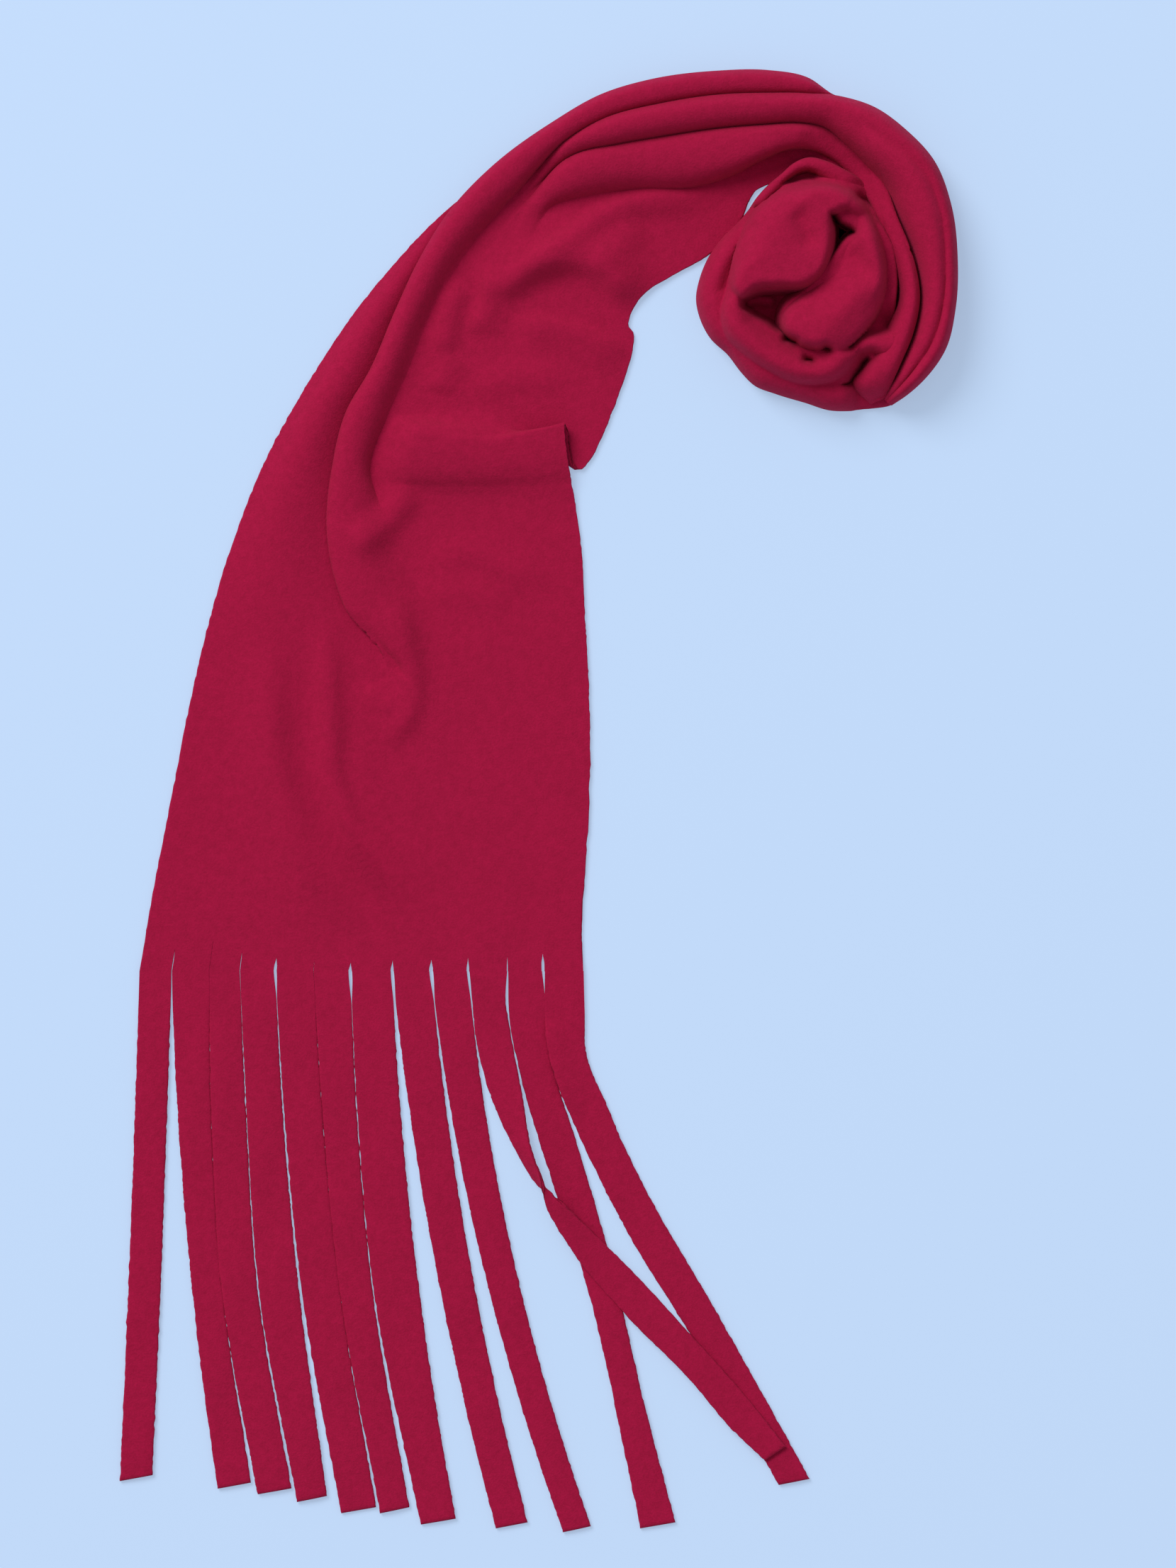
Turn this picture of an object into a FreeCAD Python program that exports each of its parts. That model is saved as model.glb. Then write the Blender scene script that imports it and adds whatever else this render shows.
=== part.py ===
import FreeCAD, Part
import math
import os
import Sketcher

# A polar fleece scarf, cut from one length of cloth and laid out on a table.
# Millimetres. X runs across the scarf, Y runs from the fringe to the coiled end, Z is up.
# The origin is the middle of the outline, on the table.

doc = FreeCAD.newDocument("fringed_scarf")
vector = FreeCAD.Vector

# ---------------------------------------------------------------- driving dimensions
SIZES = {
    "fleece_thick": 2.4,
    "cut_gap": 0.4,
    "panel_left": -211.0,
    "root_line": -90.0,
    "centre_shift_x": 0.2,
    "centre_shift_y": 0.71,
    "lap_lift": 0.4,
    "outer_fold_wide": 20.0,
    "outer_fold_high": 14.0,
    "middle_fold_wide": 18.0,
    "middle_fold_high": 19.0,
    "inner_fold_wide": 22.0,
    "inner_fold_high": 15.0,
    "pleat_wide": 11.0,
    "pleat_high": 9.0,
    "coil_x": 152.5,
    "coil_y": 290.5,
    "coil_half_straight": 14.0,
    "coil_radius": 68.5,
    "turn_wide": 16.0,
    "outer_turn_high": 27.0,
    "middle_turn_high": 34.0,
    "inner_turn_high": 40.0,
    "heart_high": 46.0,
    "turn_round": 7.0,
}

# One row for each hand-cut strip, left to right:
# width at the root, width at the tip, sideways lean of the tip, length, bow at mid length.
STRIPS = [
    (17.0, 17.2, -10.3, 268.0, 0.6),
    (19.8, 17.6, 23.2, 272.0, -4.5),
    (16.2, 18.0, 26.4, 275.0, -4.8),
    (18.7, 15.8, 28.9, 279.0, -4.1),
    (20.3, 18.6, 34.0, 285.0, -4.5),
    (19.4, 15.4, 33.2, 285.0, -4.5),
    (22.2, 18.7, 35.5, 291.0, -5.4),
    (20.6, 16.9, 52.9, 293.0, -6.2),
    (19.5, 14.8, 67.4, 295.0, -9.5),
    (20.9, 15.0, 172.0, 255.0, 0.0),
    (18.9, 18.6, 70.0, 293.0, 0.0),
    (21.3, 16.4, 122.0, 270.0, 0.0),
]

sheet = doc.addObject("Spreadsheet::Sheet", "Dimensions")


def fill_sheet():
    """Write the driving dimensions into the sheet, one alias each."""
    cells = dict(SIZES)
    for number, (root, tip, lean, length, bow) in enumerate(STRIPS, start=1):
        cells[f"root_wide_{number:02d}"] = root
        cells[f"tip_wide_{number:02d}"] = tip
        cells[f"lean_{number:02d}"] = lean
        cells[f"length_{number:02d}"] = length
        cells[f"bow_{number:02d}"] = bow
    for row, (alias, value) in enumerate(cells.items(), start=1):
        sheet.set(f"A{row}", alias)
        sheet.set(f"B{row}", str(value))
        sheet.setAlias(f"B{row}", alias)
    doc.recompute()


def size(alias):
    """A driving dimension, read back from the sheet."""
    return float(sheet.get(alias))


fill_sheet()

# ---------------------------------------------------------------- shared steps
sub_parts = []


def new_body(name):
    """A body that carries the shift to the middle of the outline."""
    body = doc.addObject("PartDesign::Body", name)
    body.Label = name
    body.setExpression("Placement.Base.x", "Dimensions.centre_shift_x")
    body.setExpression("Placement.Base.y", "Dimensions.centre_shift_y")
    return body


def new_sketch(body, name, role="XY_Plane", offset=(0, 0, 0)):
    """A sketch on one of the body's own origin planes."""
    sketch = body.newObject("Sketcher::SketchObject", name)
    plane = [p for p in body.Origin.OriginFeatures if p.Role == role][0]
    sketch.AttachmentSupport = [(plane, "")]
    sketch.MapMode = "FlatFace"
    sketch.AttachmentOffset = FreeCAD.Placement(vector(*offset), FreeCAD.Rotation())
    return sketch


def flat(point):
    """A plan point as a vector."""
    return vector(point[0], point[1], 0)


def closed_outline(sketch, sides):
    """Join sides end to end. Two points make a line, more make a smooth curve."""
    first = sketch.GeometryCount
    for side in sides:
        if len(side) == 2:
            sketch.addGeometry(Part.LineSegment(flat(side[0]), flat(side[1])), False)
        else:
            curve = Part.BSplineCurve()
            curve.interpolate([flat(p) for p in side])
            sketch.addGeometry(curve, False)
    count = len(sides)
    for index in range(count):
        following = first + (index + 1) % count
        sketch.addConstraint(Sketcher.Constraint("Coincident", first + index, 2, following, 1))


def bind_point(sketch, geometry, x_rule, y_rule, point):
    """Tie the start of one side to the sheet, measured from the body's origin."""
    for kind, rule, value in (("DistanceX", x_rule, point[0]), ("DistanceY", y_rule, point[1])):
        index = sketch.addConstraint(Sketcher.Constraint(kind, -1, 1, geometry, 1, value))
        sketch.setExpression(f"Constraints[{index}]", rule)


def pad_up(body, sketch, rule):
    """Pad a sketch upward by a rule read from the sheet."""
    pad = body.newObject("PartDesign::Pad", sketch.Name + "_pad")
    pad.Profile = sketch
    pad.setExpression("Length", rule)
    sketch.Visibility = False
    doc.recompute()
    return pad


def keep(part):
    """Note a finished sub-part. Its label is the name of its file."""
    sub_parts.append(part)
    return part


def trimmed(name, body, tools):
    """The body less the folds that lie against it."""
    body.Label = name + "_blank"
    result = body
    for index, tool in enumerate(tools):
        cut = doc.addObject("Part::Cut", f"{name}_cut_{index}")
        cut.Base = result
        cut.Tool = tool
        result = cut
    result.Label = name
    doc.recompute()
    return result


# ---------------------------------------------------------------- the fringe
def root_x(number):
    """The X of the cut to the left of a strip, at the root line."""
    return size("panel_left") + sum(size(f"root_wide_{n:02d}") for n in range(1, number))


def root_rule(number):
    """The same sum as a rule for the sheet."""
    widths = "".join(f" + Dimensions.root_wide_{n:02d}" for n in range(1, number))
    return "Dimensions.panel_left" + widths


def strip_sides(number, middle_left, middle_right):
    """The four sides of a strip: root, right edge, tip, left edge."""
    half_gap = size("cut_gap") / 2
    root = size("root_line") - half_gap
    left = root_x(number) + half_gap
    right = root_x(number + 1) - half_gap
    middle = (root_x(number) + root_x(number + 1)) / 2 + size(f"lean_{number:02d}")
    half_tip = size(f"tip_wide_{number:02d}") / 2
    tip_y = size("root_line") - size(f"length_{number:02d}")
    tip_slope = 1.6
    left_tip = (middle - half_tip, tip_y - tip_slope)
    right_tip = (middle + half_tip, tip_y + tip_slope)
    return [
        [(left, root), (right, root)],
        [(right, root)] + middle_right + [right_tip],
        [right_tip, left_tip],
        [left_tip] + middle_left[::-1] + [(left, root)],
    ]


def bow_points(number):
    """Where a gently bowed strip passes at half its length, on each side."""
    centre = (root_x(number) + root_x(number + 1)) / 2
    centre += size(f"lean_{number:02d}") / 2 + size(f"bow_{number:02d}")
    half = (size(f"root_wide_{number:02d}") + size(f"tip_wide_{number:02d}")) / 4
    half -= size("cut_gap") / 4
    level = size("root_line") - size(f"length_{number:02d}") / 2
    return [(centre - half, level)], [(centre + half, level)]


def strip(number, middle_left, middle_right):
    """One strip of the fringe, flat on the table."""
    body = new_body(f"fringe_strip_{number:02d}")
    sketch = new_sketch(body, f"strip_outline_{number:02d}")
    sides = strip_sides(number, middle_left, middle_right)
    closed_outline(sketch, sides)
    half_gap = "Dimensions.cut_gap / 2"
    root = f"Dimensions.root_line - {half_gap}"
    bind_point(sketch, 0, f"{root_rule(number)} + {half_gap}", root, sides[0][0])
    bind_point(sketch, 1, f"{root_rule(number + 1)} - {half_gap}", root, sides[1][0])
    pad_up(body, sketch, "Dimensions.fleece_thick")
    return body


def crossing_strip(number):
    """The strip that turns over once and lies across its two neighbours."""
    body = new_body(f"fringe_strip_{number:02d}")
    half_gap = size("cut_gap") / 2
    root = size("root_line") - half_gap
    left = root_x(number) + half_gap
    right = root_x(number + 1) - half_gap
    lower = new_sketch(body, "crossing_strip_root")
    closed_outline(lower, [
        [(left, root), (right, root)],
        [(right, root), (-17.0, -118.0), (-13.4, -138.0), (-8.0, -174.0), (0.0, -202.0)],
        [(0.0, -202.0), (-3.5, -203.0)],
        [(-3.5, -203.0), (-11.0, -188.0), (-24.4, -156.0), (-32.2, -124.0), (-34.8, -106.0), (left, root)],
    ])
    pad_up(body, lower, "Dimensions.fleece_thick")
    turn = new_sketch(body, "crossing_strip_turn")
    closed_outline(turn, [
        [(-4.5, -198.0), (0.0, -197.0)],
        [(0.0, -197.0), (2.0, -206.0)],
        [(2.0, -206.0), (-1.5, -208.0)],
        [(-1.5, -208.0), (-4.5, -198.0)],
    ])
    pad_up(body, turn, "2 * Dimensions.fleece_thick + Dimensions.lap_lift")
    upper = new_sketch(body, "crossing_strip_lap")
    upper.setExpression("AttachmentOffset.Base.z", "Dimensions.fleece_thick + Dimensions.lap_lift")
    closed_outline(upper, [
        [(-1.5, -208.0), (0.0, -198.0)],
        [(0.0, -198.0), (21.5, -220.0), (48.5, -247.5), (79.0, -280.5), (111.0, -316.5), (130.5, -341.0)],
        [(130.5, -341.0), (119.6, -348.4)],
        [(119.6, -348.4), (102.5, -332.5), (81.0, -307.0), (45.5, -271.0), (21.5, -245.0), (-1.5, -208.0)],
    ])
    pad_up(body, upper, "Dimensions.fleece_thick")
    return body


def fringe():
    """All twelve strips."""
    for number in range(1, 10):
        keep(strip(number, *bow_points(number)))
    keep(crossing_strip(10))
    swept_left = [(-15.2, -118.0), (-10.3, -142.0), (7.6, -198.0), (24.2, -252.0), (44.5, -340.0)]
    swept_right = [(6.4, -135.0), (20.2, -181.0), (36.4, -236.0), (56.5, -321.0)]
    keep(strip(11, swept_left, swept_right))
    outer_left = [(9.2, -135.0), (25.2, -183.0), (49.9, -231.0), (79.0, -280.0)]
    outer_right = [(26.2, -124.0), (32.3, -151.0), (54.4, -201.0), (94.5, -271.0)]
    keep(strip(12, outer_left, outer_right))


# ---------------------------------------------------------------- long folds
def tunnel_profile(body, name, role, offset, prefix):
    """A fold's section: a flat foot, two short sides and a round back."""
    wide = size(prefix + "_wide")
    side = size(prefix + "_high") - wide / 2
    sketch = new_sketch(body, name, role, offset)
    half = wide / 2
    sketch.addGeometry(Part.LineSegment(vector(-half, 0, 0), vector(half, 0, 0)), False)
    sketch.addGeometry(Part.LineSegment(vector(half, 0, 0), vector(half, side, 0)), False)
    back = Part.Circle(vector(0, side, 0), vector(0, 0, 1), half)
    sketch.addGeometry(Part.ArcOfCircle(back, 0, math.pi), False)
    sketch.addGeometry(Part.LineSegment(vector(-half, side, 0), vector(-half, 0, 0)), False)
    for index in range(4):
        sketch.addConstraint(Sketcher.Constraint("Coincident", index, 2, (index + 1) % 4, 1))
    sketch.addConstraint(Sketcher.Constraint("Symmetric", 0, 1, 0, 2, -1, 1))
    sketch.addConstraint(Sketcher.Constraint("Horizontal", 0))
    sketch.addConstraint(Sketcher.Constraint("Vertical", 1))
    sketch.addConstraint(Sketcher.Constraint("Vertical", 3))
    width = sketch.addConstraint(Sketcher.Constraint("Distance", 0, wide))
    sketch.setExpression(f"Constraints[{width}]", f"Dimensions.{prefix}_wide")
    rise = sketch.addConstraint(Sketcher.Constraint("Distance", 1, side))
    rule = f"Dimensions.{prefix}_high - Dimensions.{prefix}_wide / 2"
    sketch.setExpression(f"Constraints[{rise}]", rule)
    return sketch


def turning_path(sketch, start, heading, moves):
    """Straight runs and arcs, end to end. A positive turn is to the right. Degrees."""
    x, y = start
    for run, radius, turn in moves:
        angle = math.radians(heading)
        if run:
            ahead = (x + run * math.cos(angle), y + run * math.sin(angle))
            sketch.addGeometry(Part.LineSegment(flat((x, y)), flat(ahead)), False)
            x, y = ahead
        if turn:
            side = 1 if turn > 0 else -1
            centre_x = x + side * radius * math.sin(angle)
            centre_y = y - side * radius * math.cos(angle)
            circle = Part.Circle(vector(centre_x, centre_y, 0), vector(0, 0, 1), radius)
            leaving = math.atan2(y - centre_y, x - centre_x)
            arriving = leaving - math.radians(turn)
            low, high = sorted((leaving, arriving))
            sketch.addGeometry(Part.ArcOfCircle(circle, low, high), False)
            x = centre_x + radius * math.cos(arriving)
            y = centre_y + radius * math.sin(arriving)
            heading -= turn
    return x, y


def long_fold(name, prefix, start, heading, moves):
    """A rolled fold of cloth, swept along the table."""
    body = new_body(name)
    path = new_sketch(body, name + "_path")
    turning_path(path, start, heading, moves)
    if heading == 90:
        profile = tunnel_profile(body, name + "_section", "XZ_Plane", (start[0], 0, -start[1]), prefix)
    else:
        profile = tunnel_profile(body, name + "_section", "YZ_Plane", (start[1], 0, start[0]), prefix)
    doc.recompute()
    pipe = body.newObject("PartDesign::AdditivePipe", name + "_pipe")
    pipe.Profile = profile
    pipe.Spine = path
    doc.recompute()
    return body


# ---------------------------------------------------------------- the coil
def stadium(sketch, radius_rule, radius):
    """A long round outline about the middle of the coil."""
    x = size("coil_x")
    y = size("coil_y")
    half = size("coil_half_straight")
    first = sketch.GeometryCount
    up = vector(0, 0, 1)
    right = Part.LineSegment(vector(x + radius, y - half, 0), vector(x + radius, y + half, 0))
    sketch.addGeometry(right, False)
    far = Part.Circle(vector(x, y + half, 0), up, radius)
    sketch.addGeometry(Part.ArcOfCircle(far, 0, math.pi), False)
    left = Part.LineSegment(vector(x - radius, y + half, 0), vector(x - radius, y - half, 0))
    sketch.addGeometry(left, False)
    near = Part.Circle(vector(x, y - half, 0), up, radius)
    sketch.addGeometry(Part.ArcOfCircle(near, math.pi, 2 * math.pi), False)
    for index in range(4):
        following = first + (index + 1) % 4
        sketch.addConstraint(Sketcher.Constraint("Tangent", first + index, 2, following, 1))
    sketch.addConstraint(Sketcher.Constraint("Vertical", first))
    for arc, sign in ((first + 1, "+"), (first + 3, "-")):
        level = y + half if sign == "+" else y - half
        index = sketch.addConstraint(Sketcher.Constraint("DistanceX", -1, 1, arc, 3, x))
        sketch.setExpression(f"Constraints[{index}]", "Dimensions.coil_x")
        index = sketch.addConstraint(Sketcher.Constraint("DistanceY", -1, 1, arc, 3, level))
        rule = f"Dimensions.coil_y {sign} Dimensions.coil_half_straight"
        sketch.setExpression(f"Constraints[{index}]", rule)
    index = sketch.addConstraint(Sketcher.Constraint("Radius", first + 1, radius))
    sketch.setExpression(f"Constraints[{index}]", radius_rule)


def coil_turn(name, turns_outside, high_alias, hollow):
    """One turn of the coil, inside the turns before it."""
    body = new_body(name)
    sketch = new_sketch(body, name + "_outline")
    outer = size("coil_radius") - turns_outside * size("turn_wide")
    rule = f"Dimensions.coil_radius - {turns_outside} * Dimensions.turn_wide"
    stadium(sketch, rule, outer)
    if hollow:
        inner = outer - size("turn_wide")
        stadium(sketch, rule + " - Dimensions.turn_wide", inner)
    pad = pad_up(body, sketch, f"Dimensions.{high_alias}")
    top = size(high_alias)
    edges = [f"Edge{i}" for i, edge in enumerate(pad.Shape.Edges, start=1)
             if abs(edge.BoundBox.ZMin - top) < 0.01]
    fillet = body.newObject("PartDesign::Fillet", name + "_round")
    fillet.Base = (pad, edges)
    fillet.setExpression("Radius", "Dimensions.turn_round")
    doc.recompute()
    return body


# ---------------------------------------------------------------- the laid cloth
def laid_sheet(name, sides):
    """A flat stretch of cloth, one thickness deep."""
    body = new_body(name)
    sketch = new_sketch(body, name + "_outline")
    closed_outline(sketch, sides)
    pad_up(body, sketch, "Dimensions.fleece_thick")
    return body


def cloth():
    """Everything that isn't fringe: the laid panel, its folds and the coil."""
    outer_turn = keep(coil_turn("coil_outer_turn", 0, "outer_turn_high", True))
    keep(coil_turn("coil_middle_turn", 1, "middle_turn_high", True))
    keep(coil_turn("coil_inner_turn", 2, "inner_turn_high", True))
    keep(coil_turn("coil_heart", 3, "heart_high", False))
    inside = doc.addObject("Part::Cylinder", "coil_ground")
    inside.setExpression("Radius", "Dimensions.coil_radius")
    inside.Height = 60
    inside.setExpression("Placement.Base.x", "Dimensions.coil_x + Dimensions.centre_shift_x")
    inside.setExpression("Placement.Base.y",
                         "Dimensions.coil_y + Dimensions.coil_half_straight + Dimensions.centre_shift_y")
    doc.recompute()

    middle = long_fold("middle_fold", "middle_fold", (14.0, 346.0), 0,
                       [(0, 120.0, -8.0), (28.0, 0, 0), (0, 150.0, 10.0), (60.0, 0, 0)])
    middle_fold = keep(trimmed("middle_fold", middle, [inside]))
    outer = long_fold("outer_fold", "outer_fold", (-99.0, 100.0), 90,
                      [(50.0, 150.0, 31.0), (86.0, 153.0, 59.0), (50.0, 0, 0)])
    outer_fold = keep(trimmed("outer_fold", outer, [inside, middle_fold]))
    inner = long_fold("inner_fold", "inner_fold", (-8.0, 324.0), 0,
                      [(30.0, 90.0, -6.0), (30.0, 120.0, 14.0), (60.0, 0, 0)])
    inner_fold = keep(trimmed("inner_fold", inner, [inside, middle_fold, outer_fold]))
    pleat = long_fold("cross_pleat", "pleat", (-74.0, 193.0), 0, [(40.0, 90.0, -4.0), (44.0, 0, 0)])
    cross_pleat = keep(trimmed("cross_pleat", pleat, [outer_fold]))

    root = size("root_line")
    left = size("panel_left")
    right = root_x(len(STRIPS) + 1)
    panel = laid_sheet("flat_panel", [
        [(left, root), (right, root)],
        [(right, root), (27.0, -7.0), (24.8, 105.0), (20.2, 159.0), (15.0, 193.0)],
        [(15.0, 193.0), (-82.0, 193.0)],
        [(-82.0, 193.0), (-62.0, 254.0), (-44.0, 290.0)],
        [(-44.0, 290.0), (-52.0, 306.0)],
        [(-52.0, 306.0), (-97.5, 257.0), (-151.0, 155.0), (-180.4, 69.0), (left, root)],
    ])
    keep(trimmed("flat_panel", panel, [outer_fold, cross_pleat]))
    upper = laid_sheet("free_edge_sheet", [
        [(-82.0, 193.0), (15.0, 193.0)],
        [(15.0, 193.0), (34.0, 196.0), (46.5, 227.0), (50.0, 244.0)],
        [(50.0, 244.0), (60.0, 272.0), (95.0, 292.0), (112.0, 322.0), (119.0, 336.0)],
        [(119.0, 336.0), (60.0, 332.0), (-2.0, 322.0)],
        [(-2.0, 322.0), (-44.0, 290.0)],
        [(-44.0, 290.0), (-62.0, 254.0), (-82.0, 193.0)],
    ])
    ground = [inside, outer_turn, outer_fold, middle_fold, inner_fold, cross_pleat]
    keep(trimmed("free_edge_sheet", upper, ground))


# ---------------------------------------------------------------- checks and files
def check_document():
    """Stop if any object failed, or if a sub-part isn't one whole solid."""
    doc.recompute()
    for item in doc.Objects:
        if "Invalid" in item.State or "Error" in item.State:
            raise RuntimeError(f"{item.Label} failed: {item.State}")
    for part in sub_parts:
        shape = part.Shape
        if shape.isNull() or not shape.isValid() or not shape.Solids:
            raise RuntimeError(f"{part.Label} isn't a valid solid")


def write_files():
    """One STEP file for each sub-part."""
    os.makedirs("parts", exist_ok=True)
    for part in sub_parts:
        part.Shape.exportStep(f"parts/{part.Label}.step")


cloth()
fringe()
check_document()
write_files()
box = FreeCAD.BoundBox()
for part in sub_parts:
    box.add(part.Shape.BoundBox)
    print(f"{part.Label}: {len(part.Shape.Solids)} solid, {part.Shape.Volume:.0f} mm3")
print(f"X {box.XMin:.2f} {box.XMax:.2f}  Y {box.YMin:.2f} {box.YMax:.2f}  Z {box.ZMin:.2f} {box.ZMax:.2f}")
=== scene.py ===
import bpy
import math
import numpy as np
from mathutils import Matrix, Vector


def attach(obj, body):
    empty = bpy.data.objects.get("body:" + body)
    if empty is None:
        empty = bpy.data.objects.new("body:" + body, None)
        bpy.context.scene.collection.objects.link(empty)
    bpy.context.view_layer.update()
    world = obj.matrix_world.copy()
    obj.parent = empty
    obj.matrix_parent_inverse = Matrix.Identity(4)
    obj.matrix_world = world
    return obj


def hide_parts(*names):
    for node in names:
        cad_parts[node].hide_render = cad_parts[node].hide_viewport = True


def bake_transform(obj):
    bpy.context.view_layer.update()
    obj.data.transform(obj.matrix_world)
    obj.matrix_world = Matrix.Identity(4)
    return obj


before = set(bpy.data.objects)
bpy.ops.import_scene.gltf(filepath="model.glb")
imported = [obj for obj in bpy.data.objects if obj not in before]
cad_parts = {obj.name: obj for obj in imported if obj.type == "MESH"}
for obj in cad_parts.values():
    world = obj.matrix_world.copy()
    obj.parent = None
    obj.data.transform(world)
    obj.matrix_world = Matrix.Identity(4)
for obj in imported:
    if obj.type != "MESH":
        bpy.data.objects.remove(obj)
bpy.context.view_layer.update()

bl_info = {
    "name": "Fringed fleece scarf",
    "version": (1, 0, 0),
    "blender": (4, 5, 0),
    "location": "View3D > Sidebar > Scarf",
    "description": "Lays out a red fleece scarf with a cut fringe and a coiled end",
    "category": "Add Mesh",
}

# Every plan point below is in millimetres. X runs across the scarf, Y from the fringe to the coil.
# The points are taken before the small shift that puts the middle of the outline at the origin.
MM = 0.001
SHIFT = np.array([0.2, 0.71])
THICK = 2.2
LEVEL = THICK / 2 + 0.1
ROOT_LINE = -90.0
PANEL_LEFT = -211.0
# The eye that the plan points were seen from: its place over the floor, and its height.
EYE_PLACE = np.array([26.1, 9.0])
EYE_HEIGHT = 3000.0
# Distance between the points of a smooth line. line_distance uses every third of them.
POINT_GAP = 0.8
COARSE = 3
# Columns of the laid sheet and of one strip, before more are put this far inside each edge.
SHEET_COLUMNS = 230
STRIP_COLUMNS = 13
FINE_AT = (0.35, 0.9)
# Thickness shares of the outermost columns, which round the cut edges off.
SOFT_EDGE = (0.5, 0.8, 0.96)
SHARP = math.radians(76)
# The unevenness of a cut edge fades over EDGE_FADE, and reaches EDGE_REACH columns at most.
EDGE_FADE = 4.0
EDGE_REACH = 24

# Root width, tip width, sideways lean, length and mid-length bow of each hand-cut strip.
STRIPS = [
    (17, 17.2, -10.3, 268, 0.6), (19.8, 17.6, 23.2, 272, -4.5), (16.2, 18, 26.4, 275, -4.8),
    (18.7, 15.8, 28.9, 279, -4.1), (20.3, 18.6, 34, 285, -4.5), (19.4, 15.4, 33.2, 285, -4.5),
    (22.2, 18.7, 35.5, 291, -5.4), (20.6, 16.9, 52.9, 293, -6.2), (19.5, 14.8, 67.4, 295, -9.5),
    (20.9, 15, 172, 255, 0), (18.9, 18.6, 70, 293, 0), (21.3, 16.4, 122, 270, 0)]
# Where each cut between two strips ends in the cloth, and how far it gapes there.
CUTS = [
    (-78.8, 0.3), (-73.9, 0), (-79.5, 0.2), (-82.9, 1.5), (-84.5, 0), (-85.5, 1.8), (-84.5, 1.5),
    (-84, 1.9), (-83.5, 1.2), (-83, 0.4), (-81, 1.4)]


# -------- curves and surfaces
def hermite(t, step, values, slopes, low):
    """The cubic between value low and the next one, at a share t of the step between them."""
    return ((2 * t**3 - 3 * t**2 + 1) * values[low] + (t**3 - 2 * t**2 + t) * step * slopes[low]
            + (3 * t**2 - 2 * t**3) * values[low + 1] + (t**3 - t**2) * step * slopes[low + 1])


def monotone(keys, values, at):
    """A smooth line through values at keys, which never overshoots them."""
    keys = np.asarray(keys, float)
    values = np.asarray(values, float)
    step = np.diff(keys)
    slope = np.diff(values) / step
    tangent = np.zeros(len(keys))
    both = slope[:-1] * slope[1:] > 0
    tangent[1:-1][both] = 2 * slope[:-1][both] * slope[1:][both] / (slope[:-1] + slope[1:])[both]
    tangent[0] = slope[0]
    tangent[-1] = slope[-1]
    low = np.clip(np.searchsorted(keys, at, "right") - 1, 0, len(keys) - 2)
    t = np.clip((at - keys[low]) / step[low], 0, 1)
    return hermite(t, step[low], values, tangent, low)


def travelled(line):
    """How far along a line each of its points is."""
    return np.concatenate([[0], np.cumsum(np.linalg.norm(np.diff(line, axis=0), axis=1))])


def places(line, travel, wanted):
    """Points at wanted distances along a line, whose own points are at travel."""
    return np.column_stack([np.interp(wanted, travel, line[:, k]) for k in range(line.shape[1])])


def smooth_line(points, closed=False):
    """A dense, even smooth line through given points, and the length at each point."""
    points = np.asarray(points, float)
    if closed:
        points = np.concatenate([points[-2:], points, points[:3]])
    chord = travelled(points)
    slope = np.gradient(points, chord, axis=0)
    wanted = np.linspace(chord[0], chord[-1], max(12, int((chord[-1] - chord[0]) / POINT_GAP)))
    low = np.clip(np.searchsorted(chord, wanted, "right") - 1, 0, len(chord) - 2)
    step = (chord[low + 1] - chord[low])[:, None]
    line = hermite((wanted - chord[low])[:, None] / step, step, points, slope, low)
    if closed:
        keep = (wanted >= chord[2]) & (wanted < chord[-3])
        return line[keep], chord
    return line, chord


def guide(table, stations):
    """Places along a drawn line. table is {station: point}."""
    keys = sorted(table)
    points = [table[k] for k in keys]
    line, chord = smooth_line(points)
    travel = np.linspace(chord[0], chord[-1], len(line))
    return places(line, travel, monotone(keys, chord, stations))


def amount(table, stations):
    """A number that changes gently along the scarf. table is {station: value}."""
    keys = sorted(table)
    return monotone(keys, [table[k] for k in keys], stations)


def b_spline(polygon, count):
    """Rows of control points smoothed along axis 1 into count columns. It keeps the two ends."""
    first = 2 * polygon[:, :1] - polygon[:, 1:2]
    last = 2 * polygon[:, -1:] - polygon[:, -2:-1]
    net = np.concatenate([first, polygon, last], axis=1)
    steps = np.linspace(0, polygon.shape[1] - 1 - 1e-9, count)
    low = np.floor(steps).astype(int)
    t = (steps - low).reshape(1, -1, 1)
    return ((1 - t) ** 3 * net[:, low] + (3 * t**3 - 6 * t**2 + 4) * net[:, low + 1]
            + (-3 * t**3 + 3 * t**2 + 3 * t + 1) * net[:, low + 2] + t**3 * net[:, low + 3]) / 6


def ease(value, low, high):
    """From 0 at low to 1 at high, gently."""
    t = np.clip((value - low) / (high - low), 0, 1)
    return t * t * (3 - 2 * t)


def bell(distance, width):
    """1 where the distance is 0, fading softly over a width."""
    return np.exp(-(distance / width) ** 2)


def line_distance(plan, points, closed=False):
    """For plan points: distance to a smooth line, the side they are on (positive to its left),
    and how far along it they are, from 0 to 1."""
    line = smooth_line(points, closed)[0][::COARSE]
    if closed:
        line = np.concatenate([line, line[:1]])
    best = np.full(len(plan), 1e9)
    side = np.ones(len(plan))
    along = np.zeros(len(plan))
    for k in range(len(line) - 1):
        a = line[k]
        run = line[k + 1] - a
        away = plan - a
        t = np.clip((away @ run) / max(run @ run, 1e-9), 0, 1)
        gap = away - t[:, None] * run
        distance = np.hypot(gap[:, 0], gap[:, 1])
        near = distance < best
        best[near] = distance[near]
        side[near] = np.sign(run[0] * away[near, 1] - run[1] * away[near, 0])
        along[near] = (k + t[near]) / (len(line) - 1)
    return best, side, along


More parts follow.
